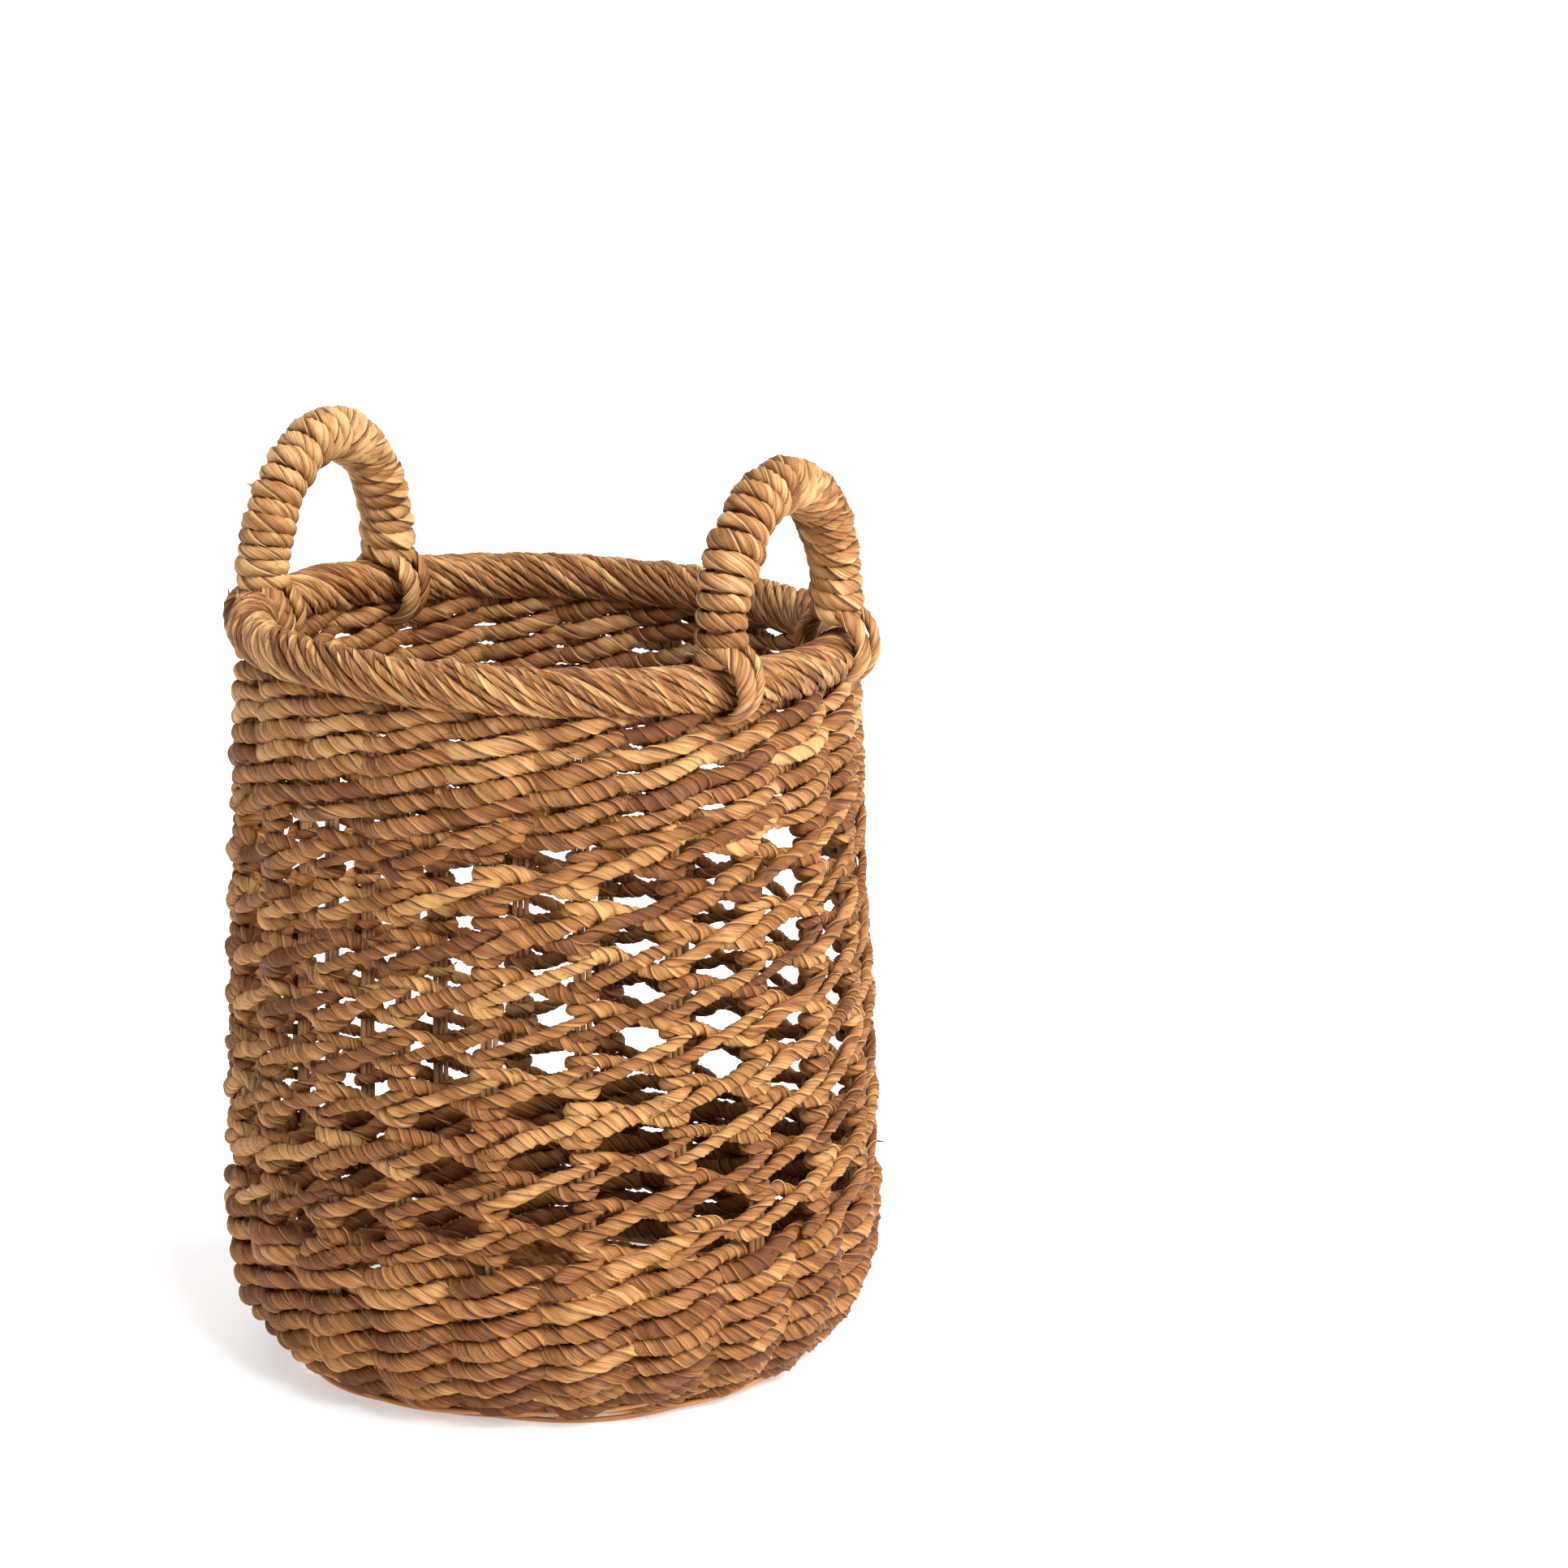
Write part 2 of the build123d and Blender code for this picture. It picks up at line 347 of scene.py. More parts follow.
def twisted_leaf(bundle, run, outward, width, rng, thick=0.85, twist=0.025, edge=0.17, folds=2, tone=0.0,
                 squash=None, fray=0.5, taper=0.007, uneven=1.0):
    """A strand of twisted leaf along a run. The folds of the leaf wind round it, each lip over the next.

    outward is the side each point of the run shows, squash narrows it along the way, and fray is the
    number of loose fibres per 100 mm.
    """
    along = distance_along(run)
    heading, outward, across = sides_of(run, outward)
    size = 1 + uneven * (0.15 * wander(rng, along, 0.050) + 0.09 * wander(rng, along, 0.017))
    size = size + 0.03 * wander(rng, along, 0.006)
    if squash is not None:
        size = size * squash
    ends = np.minimum(along, along[-1] - along) / taper
    size = size * (0.25 + 0.75 * np.sqrt(np.clip(ends, 0, 1)))
    pace = (1 + 0.45 * wander(rng, along, 0.05)) / twist
    wound = np.concatenate([[0], np.cumsum((pace[1:] + pace[:-1]) / 2 * np.diff(along))])
    turn = rng.uniform(0, 2 * pi) + 2 * pi * wound
    around = np.concatenate([(np.array(FOLD_POINTS) + fold) / folds for fold in range(folds)])
    sides = len(around)
    profile = np.ones((len(run), sides))
    for fold in range(folds):
        lip = edge * np.clip(0.75 + 1.15 * wander(rng, along, 0.020), 0.05, 2)
        part = slice(fold * 4, fold * 4 + 4)
        profile[:, part] += lip[:, None] * (np.array(FOLD_POINTS) ** 1.4 - 0.48)[None]
    profile = profile + rng.normal(0, 0.012, profile.shape)
    lean = 0.05 * wander(rng, along, 0.06)[:, None] * np.sin(2 * pi * around + rng.uniform(0, 6))[None]
    angle = turn[:, None] + 2 * pi * (around[None] + lean)
    half = width / 2 * size[:, None] * profile
    flat = thick * (1 + 0.12 * wander(rng, along, 0.03))[:, None]
    rings = (run[:, None] + (half * flat * np.cos(angle))[..., None] * outward[:, None]
             + (half / np.sqrt(thick) * np.sin(angle))[..., None] * across[:, None])
    leaf = 0.16 * wander(rng, along, 0.16) + 0.14 * wander(rng, along, 0.05)
    leaf = leaf + 0.08 * wander(rng, along, 0.015)
    shade = np.stack([0.5 + tone + rng.normal(0, 0.07) + leaf,
                      0.5 + 0.5 * wander(rng, along, 0.11),
                      np.full(len(run), rng.uniform(0, 1)),
                      np.ones(len(run))], axis=1)
    lips = [i for i in range(sides) if i % 4 in (0, 3)]
    bundle.add_rings(rings, around, along, shade, lips)
    for _ in range(rng.poisson(fray * along[-1] / 0.1)):
        at = rng.integers(4, len(run) - 4)
        facing = rng.uniform(-1.3, 1.3)
        away = outward[at] * cos(facing) + across[at] * sin(facing)
        side = unit(heading[at] * rng.choice([-1, 1]) + across[at] * rng.normal(0, 0.5))
        root = run[at] + away * width * 0.42
        fibre(bundle, root, away, side, rng, shade[at])


def fibre(bundle, root, away, side, rng, shade):
    """A loose fibre or a torn lip of leaf that lifts off a strand."""
    length = rng.uniform(3, 9) * MM
    lift = rng.uniform(0.12, 0.6)
    width = rng.choice([0.35, 0.5, 1.6], p=[0.5, 0.3, 0.2]) * MM
    t = np.linspace(0, 1, 5)[:, None]
    curl = rng.normal(0, 0.5)
    across = np.cross(side, away)
    run = root + side * t * length + away * (lift * length * t ** 1.5)
    run = run + across * (curl * length * t ** 2 * 0.5)
    half = width / 2 * (1.02 - t ** 1.5)
    corners = ((0.0, 0.35), (1.0, 0.0), (0.0, -0.35), (-1.0, 0.0))
    rings = np.stack([run + half * (across * c + away * a * 0.35) for c, a in corners], axis=1)
    if np.dot(np.cross(across, away), side) > 0:
        rings = rings[:, ::-1]
    tone = np.repeat((shade + [0.08, 0, 0, 0])[None], 5, axis=0)
    bundle.add_rings(rings, np.arange(4) / 4, t[:, 0] * length, tone)


def smooth_rod(bundle, run, outward, width, rng, sides=8, tone=0.0):
    """A thin rattan rod along a run, nearly round, with faint knots."""
    along = distance_along(run)
    _, outward, across = sides_of(run, outward)
    size = 1 + 0.05 * wander(rng, along, 0.03)
    angle = 2 * pi * np.arange(sides) / sides
    half = (width / 2 * size)[:, None, None]
    rings = run[:, None] + half * (np.cos(angle)[None, :, None] * outward[:, None]
                                   + np.sin(angle)[None, :, None] * across[:, None])
    shade = np.stack([0.5 + tone + rng.normal(0, 0.12) + 0.12 * wander(rng, along, 0.05),
                      0.5 + 0.5 * wander(rng, along, 0.1),
                      np.full(len(run), rng.uniform(0, 1)), np.ones(len(run))], axis=1)
    bundle.add_rings(rings, np.arange(sides) / sides, along, shade)


# ---- materials -----------------------------------------------------------------------------------
class Sock:
    """A shader socket that can be added, multiplied and compared in plain expressions."""

    def __init__(self, shader, output):
        self.shader, self.output = shader, output

    def math(self, operation, *values):
        """A Math node on these values, or on this socket alone."""
        return self.shader.node("ShaderNodeMath", {"operation": operation}, *(values or (self,)))

    def __add__(self, other):
        return self.math("ADD", self, other)

    def __sub__(self, other):
        return self.math("SUBTRACT", self, other)

    def __rsub__(self, other):
        return self.math("SUBTRACT", other, self)

    def __mul__(self, other):
        return self.math("MULTIPLY", self, other)

    __radd__ = __add__
    __rmul__ = __mul__

    def step(self, low, high):
        """0 below low, 1 above high, and smooth between."""
        return self.shader.node("ShaderNodeMapRange", {"interpolation_type": "SMOOTHSTEP"},
                                self, low, high, 0.0, 1.0)


class Shader:
    """One material, built from expressions."""

    def __init__(self, name):
        self.material = bpy.data.materials.new(name)
        self.material.use_nodes = True
        self.tree = self.material.node_tree
        self.surface = self.tree.nodes["Principled BSDF"]

    def node(self, kind, settings, *values, output=0, **named):
        """A node of that kind. Its settings come first, and then the values or links of its sockets."""
        node = self.tree.nodes.new(kind)
        for name, value in settings.items():
            setattr(node, name, value)
        for socket, value in list(enumerate(values)) + list(named.items()):
            target = node.inputs[socket.replace("_", " ") if isinstance(socket, str) else socket]
            if isinstance(value, Sock):
                self.tree.links.new(value.output, target)
            elif value is not None:
                target.default_value = value
        return Sock(self, node.outputs[output])

    def mix(self, share, low, high):
        """Colour between two colours."""
        node = self.tree.nodes.new("ShaderNodeMix")
        node.data_type = "RGBA"
        for target, value in ((node.inputs["Factor"], share), (node.inputs[6], low), (node.inputs[7], high)):
            if isinstance(value, Sock):
                self.tree.links.new(value.output, target)
            else:
                target.default_value = value if isinstance(value, float) else (*value, 1.0)
        return Sock(self, node.outputs[2])

    def split(self, vector, axis):
        """One part of a vector."""
        return self.node("ShaderNodeSeparateXYZ", {}, vector, output=axis)

    def join(self, x, y, z):
        """A vector from its parts."""
        return self.node("ShaderNodeCombineXYZ", {}, x, y, z)

    def strand(self):
        """A strand's map and shade: around it, along it, its tone, its stain and its seed."""
        place = self.node("ShaderNodeUVMap", {"uv_map": "strand"})
        shade = self.node("ShaderNodeAttribute", {"attribute_name": "shade"})
        own = (self.node("ShaderNodeSeparateColor", {}, shade, output=i) for i in range(3))
        return self.split(place, 0), self.split(place, 1), *own

    def noise(self, place, scale, detail=2.0, rough=0.5):
        """Smooth noise from 0 to 1 at a place."""
        return self.node("ShaderNodeTexNoise", {}, Vector=place, Scale=scale, Detail=detail, Roughness=rough)

    def finish(self, colour, rough, height, depth, **plain):
        """Links the surface's colour, roughness and bump. Plain values go on its own sockets."""
        bump = self.node("ShaderNodeBump", {}, Strength=1.0, Distance=depth, Height=height)
        for name, sock in (("Base Color", colour), ("Roughness", rough), ("Normal", bump)):
            self.tree.links.new(sock.output, self.surface.inputs[name])
        for name, value in plain.items():
            self.surface.inputs[name.replace("_", " ")].default_value = value
        return self.material


def leaf_material(name, light, mid, dark, crease, folds=2.0, fibres=9.0, lighten=0.0):
    """Dried leaf twisted into a strand: fibres along the leaf, painted shade under each lip, stains, and an
    offset that makes the whole leaf lighter or darker.
    """
    s = Shader(name)
    around, along, tone, stain, seed = s.strand()
    fine = s.noise(s.join(around * fibres, along * 9.0, seed * 40.0), 3.4, 4.0, 0.68)
    coarse = s.noise(s.join(around * 2.6, along * 26.0, seed * 40.0 + 9.0), 2.0, 3.0, 0.6)
    blotch = s.noise(s.join(around * 1.5, along * 48.0, seed * 70.0 + 3.0), 1.5, 4.0, 0.62)
    lines = fine.step(0.36, 0.64)
    fold = (around * folds).math("FRACT")
    lip = fold.step(0.60, 0.98)
    # painted shade: the leaf just past each step, tucked under the lip of the fold before, is darkened
    under = (1.0 - fold.step(0.02, 0.25)) * (0.35 + blotch.step(0.34, 0.58) * 0.65)
    bright = (tone - 0.5) * 1.5 + (lines - 0.5) * 0.50 + (coarse - 0.5) * 1.5 + lip * 0.28 + (0.34 + lighten)
    body = s.mix(bright.step(0.35, 1.05), mid, light)
    body = s.mix(1.0 - bright.step(-0.15, 0.45), body, dark)
    rust = blotch.step(0.52, 0.72) * stain.step(0.40, 0.85)
    body = s.mix(rust * 0.70, body, tuple(0.5 * a + 0.5 * b for a, b in zip(dark, (0.42, 0.13, 0.03))))
    grey = (1.0 - blotch).step(0.55, 0.75) * (1.0 - stain).step(0.50, 0.90)
    body = s.mix(grey * 0.45, body, tuple(0.72 * a + 0.12 for a in mid))
    # painted shade under each lip, in the crease colour
    body = s.mix(under * 0.92, body, crease)
    crack = (1.0 - fine).step(0.58, 0.72)
    body = s.mix(crack * 0.70, body, crease)
    rough = 0.36 + (1.0 - lines) * 0.16 + under * 0.25 + rust * 0.1
    height = fine * 0.8 + coarse * 0.35 + lip * 0.35 - under * 0.5
    return s.finish(body, rough, height, 0.0011, Specular_IOR_Level=0.26)


def rattan_material(name, colour, crease):
    """Peeled rattan: long fine grain, a few dark specks and a slight polish."""
    s = Shader(name)
    around, along, tone, stain, seed = s.strand()
    grain = s.noise(s.join(around * 7.0, along * 14.0, seed * 30.0), 3.0, 3.0, 0.6)
    patch = s.noise(s.join(around, along * 22.0, seed * 50.0), 1.4, 2.0)
    light = tuple(min(1.0, c * 1.35 + 0.03) for c in colour)
    dark = tuple(c * 0.55 for c in colour)
    bright = (tone - 0.5) * 1.2 + (grain - 0.5) * 1.3 + (patch - 0.5) * 0.8 + 0.5
    body = s.mix(bright.step(0.35, 0.95), colour, light)
    body = s.mix(1.0 - bright.step(0.05, 0.5), body, dark)
    speck = s.noise(s.join(around * 2.0, along * 160.0, seed * 90.0), 1.6, 1.0).step(0.70, 0.78)
    body = s.mix(speck * stain * 0.7, body, crease)
    return s.finish(body, 0.36 + grain * 0.2, grain, 0.0002, Specular_IOR_Level=0.3)


def paint(slot):
    """The material for a slot. All of them are made when the first is asked for."""
    if slot + "_finish" not in bpy.data.materials:
        mix_paints()
    return bpy.data.materials[slot + "_finish"]


def mix_paints():
    """Makes the material of every slot."""
    c = bpy.context.scene.basket_colours
    golden = [tuple(v) for v in (c.leaf_light, c.leaf_mid, c.leaf_dark, c.crease)]
    pale = [tuple(v) for v in (c.pale_light, c.pale_mid, c.leaf_dark, c.crease)]
    upper = [tuple(0.6 * a + 0.4 * b for a, b in zip(p, g)) for p, g in zip(pale, golden)]
    # the lower band and the base are made darker as a whole, the upper band a little darker and the handles
    # lighter
    leaf_material("leaf_lower_finish", *golden, lighten=-0.14)
    leaf_material("leaf_lattice_finish", *golden)
    leaf_material("leaf_base_finish", *golden, lighten=-0.14)
    leaf_material("leaf_upper_finish", *upper, lighten=-0.03)
    leaf_material("leaf_rim_finish", *pale, fibres=6.0, lighten=0.0)
    leaf_material("leaf_handle_finish", *pale, fibres=8.0, lighten=0.16)
    rattan_material("rattan_stake_finish", tuple(c.rattan), tuple(c.crease))
    rattan_material("rattan_hoop_finish", tuple(c.rattan_foot), tuple(c.crease))


def settle(bundle, slot, body, *nodes):
    """Makes the bundle's piece, and sets its finish, its body and the nodes it stands for."""
    piece = bundle.piece(paint(slot))
    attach(piece, body)
    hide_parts(*nodes)
    return piece


def nodes_named(start):
    """The frame's nodes whose names begin that way, in order."""
    return sorted((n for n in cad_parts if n.startswith(start)), key=lambda n: (len(n), n))


def outward_of(run):
    """The side away from what a level strand wraps: square to the run and to the upright."""
    return np.cross(unit(np.gradient(run, axis=0)), UP)


# ---- pieces --------------------------------------------------------------------------------------
def twined_run(wall, height, strand, reach, weave, rng, sway, start=0.0, fine=16):
    """The run of one of the two strands of a close course, once round the basket.

    strand is 0 or 1. The strand passes over one stake and behind the next, and where the two strands
    change places it is the upper one on its way in and the lower one on its way out. The last column
    is how near the run is to a stake, from 0 to 1.
    """
    count = wall.set.stake_count
    place = start + np.linspace(0, count + 0.25, int((count + 0.25) * fine) + 1)
    turn = pi * (place + strand)
    out = reach * (np.cos(turn) + 0.06 + 0.12 * wander(rng, place, 1.1))
    play = 1 + 0.35 * wander(rng, place, 1.3)
    rise = weave * play * np.sin(turn) + np.interp(place % count, *sway) + 0.0007 * wander(rng, place, 0.9)
    return np.column_stack([wall.point(place, height + rise, out), np.abs(np.cos(turn))])


def twine_course(bundle, wall, height, width, weave, rng, tone=0.0, fray=0.9, looseness=0.0013, tight=0.0):
    """Both strands of one close course.

    looseness is how far the course strays up and down, and tight pulls it in against the stakes.
    """
    strands = bpy.context.scene.basket_strands
    thick = 0.86
    reach = (strands.rod_width / 2 + width * thick / 2 * 0.92) * (1 - tight)
    count = wall.set.stake_count
    start = rng.uniform(0, count)
    places = np.linspace(0, count, count * 2 + 1)
    sway = looseness * wander(rng, places, 2.7)
    sway[-2:] = sway[0]
    for strand in (0, 1):
        run = twined_run(wall, height, strand, reach, weave, rng, (places, sway), start)
        run = evenly(run, strands.ring_step)
        squash = 0.80 + 0.20 * run[:, 3]
        own_width = width * rng.uniform(0.90, 1.12)
        path = run[:, :3]
        own_twist = strands.twist * rng.uniform(1.0, 2.0)
        twisted_leaf(bundle, path, outward_of(path), own_width, rng, thick, own_twist,
                     strands.leaf_edge, tone=tone + rng.normal(0, 0.06), squash=squash, fray=fray)


class BASKET_OT_base(bpy.types.Operator):
    """Weaves the round base: strands twined over and under the spokes, in rings."""

    bl_idname = "basket.weave_base"
    bl_label = "Weave base"

    def execute(self, context):
        strands = context.scene.basket_strands
        rng = np.random.default_rng(101)
        spokes = context.scene.basket_wall.stake_count
        bundle = Bundle("base_weave")
        centre = middle("base_spokes")[2]
        outer = span("base_weave_under", 0) / 2
        width = 0.0112      # strand of the base
        lift = 0.0024       # how far it rises over a spoke
        radius = 0.014      # innermost ring
        while radius < outer - width * 0.3:
            for strand in (0, 1):
                place = np.linspace(0, spokes + 0.3, 400)       # a little past the start, to close the ring
                rings = radius + 0.0005 * wander(rng, place, 3.0)
                turn = pi * (place + strand)
                angle = 2 * pi * place / spokes + radius * 31
                rise = centre + lift * np.cos(turn)
                spread = rings + 0.0022 * np.sin(turn)
                run = evenly(polar(spread, angle, rise), strands.long_step)
                twisted_leaf(bundle, run, UP[None], width, rng, thick=0.42, twist=0.026, edge=0.14,
                             tone=-0.08, fray=0.15)
            radius += width * 0.98
        bundle_rods = Bundle("base_spoke_rods")
        for spoke in range(spokes):
            angle = 2 * pi * spoke / spokes
            heading = np.array([cos(angle), sin(angle), 0])
            along = np.linspace(0.018, outer + 0.003, 12)[:, None]
            run = heading * along + UP * centre
            smooth_rod(bundle_rods, run, UP[None], strands.rod_width, rng)
        settle(bundle, "leaf_base", "basket", "base_weave_under", "base_weave_over")
        settle(bundle_rods, "rattan_stake", "basket", "base_spokes")
        return {"FINISHED"}


class BASKET_OT_stakes(bpy.types.Operator):
    """Sets the stakes: each is three thin rattan rods side by side, from the base up into the rim."""

    bl_idname = "basket.set_stakes"
    bl_label = "Set stakes"

    def execute(self, context):
        wall = Wall(context.scene.basket_wall)
        width = context.scene.basket_strands.rod_width
        low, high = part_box("stake_01")
        curved = np.linspace(low[2] + width / 2, 0.1, 16)
        heights = np.concatenate([curved, np.linspace(0.115, high[2] + 0.004, 36)])
        for index, node in enumerate(nodes_named("stake_")):
            rng = np.random.default_rng(200 + index)
            bundle = Bundle(f"{node}_rods")
            for rod in (-1, 0, 1):
                aside = rod * width * (1.03 + 0.10 * wander(rng, heights, 0.12))
                out = 0.0003 * wander(rng, heights, 0.09)
                run = wall.point(float(index), heights, out, aside)
                smooth_rod(bundle, evenly(run, 0.008), run[:1] * [1, 1, 0], width, rng)
            settle(bundle, "rattan_stake", "basket", node)
        return {"FINISHED"}


class BASKET_OT_foot(bpy.types.Operator):
    """Twines the two thin rattan rods round the edge of the base."""

    bl_idname = "basket.twine_foot"
    bl_label = "Twine foot"

    def execute(self, context):
        wall = Wall(context.scene.basket_wall)
        width = context.scene.basket_strands.rod_width
        count = wall.set.stake_count
        for strand, node in enumerate(("foot_hoop_lower", "foot_hoop_upper")):
            rng = np.random.default_rng(300 + strand)
            bundle = Bundle(node.replace("hoop", "rod"))
            for lap in (0, 1):
                place = np.linspace(0, count + 0.4, count * 16)
                turn = pi * (place * 0.5 + strand + lap * 0.5)
                radius = span(node, 0) / 2 - width * 0.2 + 0.0016 * np.cos(turn) + 0.001 * lap
                height = middle(node)[2] + 0.0012 + 0.0018 * np.sin(turn) + lap * 0.0030
                angle = 2 * pi * place / count + strand * 2.1 + lap * 0.9
                run = evenly(polar(radius, angle, height), 0.004)
                smooth_rod(bundle, run, run * [1, 1, 0], width * 0.95, rng)
            settle(bundle, "rattan_hoop", "basket", node)
        return {"FINISHED"}


class BASKET_OT_lower(bpy.types.Operator):
    """Weaves the close courses at the bottom of the wall."""

    bl_idname = "basket.weave_lower_band"
    bl_label = "Weave lower band"

    def execute(self, context):
        wall = Wall(context.scene.basket_wall)
        strands = context.scene.basket_strands
        for index, node in enumerate(nodes_named("lower_course_")):
            bundle = Bundle(f"{node}_strands")
            rng = np.random.default_rng(400 + index)
            low = max(0.0, 1 - index / 2.5)
            # the lowest courses are thinner and pulled tight
            twine_course(bundle, wall, middle(node)[2], strands.lower_width * (1 - 0.12 * low),
                         strands.lower_weave * (1 - 0.45 * low), rng, -0.04, tight=0.45 * low)
            settle(bundle, "leaf_lower", "basket", node)
        return {"FINISHED"}


class BASKET_OT_upper(bpy.types.Operator):
    """Weaves the close courses under the rim."""

    bl_idname = "basket.weave_upper_band"
    bl_label = "Weave upper band"

    def execute(self, context):
        wall = Wall(context.scene.basket_wall)
        strands = context.scene.basket_strands
        nodes = nodes_named("upper_course_")
        for index, node in enumerate(nodes):
            bundle = Bundle(f"{node}_strands")
            rng = np.random.default_rng(500 + index)
            height = middle(node)[2] + strands.under_rim * (1 - index / (len(nodes) - 1))
            twine_course(bundle, wall, height, strands.upper_width, strands.upper_weave, rng,
                         fray=1.3, looseness=0.0017)
            settle(bundle, "leaf_upper", "basket", node)
        return {"FINISHED"}


# How a strand passes a stake: along the wall, out from it and up, in millimetres from the row's own place.
# A strand that arrives rising leaves falling, and one that arrives falling leaves rising.
RISING_IN = (
    (-20, 5.4, -1.2), (-10, 5.8, 1.8), (0, 5.3, 5.0),                       # in over the stake's face
    (5.2, 3.5, 6.6), (6.7, 0.2, 7.4), (4.2, -3.8, 8.0),                     # round its far side
    (0, -4.9, 8.4), (-4.2, -3.9, 8.9), (-6.7, -0.2, 9.7),                   # back behind it
    (-4.6, 3.7, 10.6), (0, 5.0, 11.0), (9, 3.4, 9.4), (18, -0.8, 5.8),      # and on over its face
)
FALLING_IN = (
    (-18, -0.8, -5.6), (-9, 3.2, -8.9), (0, 5.0, -11.0),
    (4.6, 3.7, -10.6), (6.7, 0.0, -9.6), (4.2, -3.9, -8.6),
    (0, -4.9, -8.0), (-4.2, -3.8, -7.4), (-6.7, -0.2, -6.7),
    (-5.0, 3.8, -5.9), (0, 5.3, -5.0), (10, 5.8, -1.8), (20, 5.4, 1.2),
)
STAKE_SPACING = 53.0        # from one stake to the next round the wall, in millimetres
ROW_PITCH = 0.028           # height from one row of the lattice to the next


def lattice_run(wall, first, strand, low, high, pairs, rng):
    """The run of one strand of a lattice pair, climbing from the lower band to the upper one.

    The last column is how near the run is to a stake, from 0 to 1.
    """
    count = wall.set.stake_count
    climb = ROW_PITCH * pairs / count
    rows = int(round((high - low) / climb))
    points = []
    for step in range(rows + 1):
        stake = int(round(first)) + step
        height = low + climb * step
        pass_by = RISING_IN if (step + strand) % 2 else FALLING_IN
        shift = rng.normal(0, 0.0010, 2)
        size = rng.uniform(0.90, 1.10)
        for along, out, up in pass_by:
            rise = climb * along / STAKE_SPACING
            points.append((stake, along * MM + shift[0], out * MM * size,
                           height + up * MM * size + rise * 0.5 + shift[1] + rng.normal(0, 0.0003)))
    dense = through(points, 8)
    near = np.exp(-(dense[:, 1] / 0.009) ** 2)
    return np.column_stack([wall.point(dense[:, 0], dense[:, 3], dense[:, 2], dense[:, 1]), near])


class BASKET_OT_lattice(bpy.types.Operator):
    """Weaves the open lattice: strand pairs that climb in spirals and wrap each stake on the way."""

    bl_idname = "basket.weave_lattice"
    bl_label = "Weave lattice"

    def execute(self, context):
        wall = Wall(context.scene.basket_wall)
        strands = context.scene.basket_strands
        nodes = nodes_named("lattice_pair_")
        low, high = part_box(nodes[0])
        for index, node in enumerate(nodes):
            bundle = Bundle(f"{node}_strands")
            rng = np.random.default_rng(600 + index)
            first = index * wall.set.stake_count / len(nodes)
            start = low[2] - 0.004 + (round(first) - first) * 0.0102    # makes up for the rounded stake
            end = high[2] + 0.014       # under the first upper course
            for strand in (0, 1):
                run = lattice_run(wall, first, strand, start, end, len(nodes), rng)
                run = evenly(run, strands.ring_step)
                path = run[:, :3]
                width = strands.lattice_width * rng.uniform(0.92, 1.10)
                own_twist = strands.twist * rng.uniform(0.8, 1.6)
                twisted_leaf(bundle, path, outward_of(path), width, rng, 0.84, own_twist, strands.leaf_edge,
                             tone=rng.normal(0, 0.06), squash=1.06 - 0.22 * run[:, 3], fray=0.9, uneven=1.4)
            settle(bundle, "leaf_lattice", "basket", node)
        return {"FINISHED"}


class BASKET_OT_rim(bpy.types.Operator):
    """Lays the rim: a rope of many slanting cords round its hoop."""

    bl_idname = "basket.lay_rim"
    bl_label = "Lay rim"

    def execute(self, context):
        wall = Wall(context.scene.basket_wall)
        s = context.scene.basket_wall
        strands = context.scene.basket_strands
        rng = np.random.default_rng(700)
        bundle = Bundle("rim_rope")
        cords = 13
        turns = 9 + 3 / cords       # after one round, each cord meets the start of the third one after it
        foot = middle("handle_right_lashing_front")
        joint_angle = atan2(foot[1], foot[0])       # the ends meet under a lashing
        half = span("rim_border", 2) / 2 - strands.cord_width * 0.40
        for cord in range(cords):
            angle = joint_angle + rng.uniform(-0.03, 0.03) + np.linspace(0, 2 * pi * 1.008, 640)
            along = (angle - angle[0]) * s.rim_radius
            bulge = 0.0007 * wander(rng, along, 0.05) + 0.0005 * wander(rng, along, 0.02)
            turn = turns * angle + 2 * pi * cord / cords + 0.10 * wander(rng, along, 0.06)
            out = (half + bulge) * np.cos(turn)
            up = -(half + bulge) * np.sin(turn)
            rise = s.rim_height + up + wall.lift(angle, s.rim_height)
            core = polar(s.rim_radius, angle, s.rim_height + wall.lift(angle, s.rim_height))
            run = polar(s.rim_radius + out, angle, rise)
            run = evenly(np.column_stack([run, core]), strands.long_step)
            own_width = strands.cord_width * rng.uniform(0.9, 1.12)
            twisted_leaf(bundle, run[:, :3], run[:, :3] - run[:, 3:], own_width, rng, thick=0.94,
                         twist=0.045, edge=0.15, tone=rng.normal(0, 0.05), fray=0.6)
        hoop = Bundle("rim_core_hoop")
        angle = np.linspace(0, 2 * pi, 160)
        run = polar(s.rim_radius, angle, s.rim_height + wall.lift(angle, s.rim_height))
        smooth_rod(hoop, run, run * [1, 1, 0], span("rim_hoop", 2) * 1.5, rng, sides=14)
        settle(bundle, "leaf_rim", "basket", "rim_border")
        settle(hoop, "rattan_hoop", "basket", "rim_hoop")
        return {"FINISHED"}


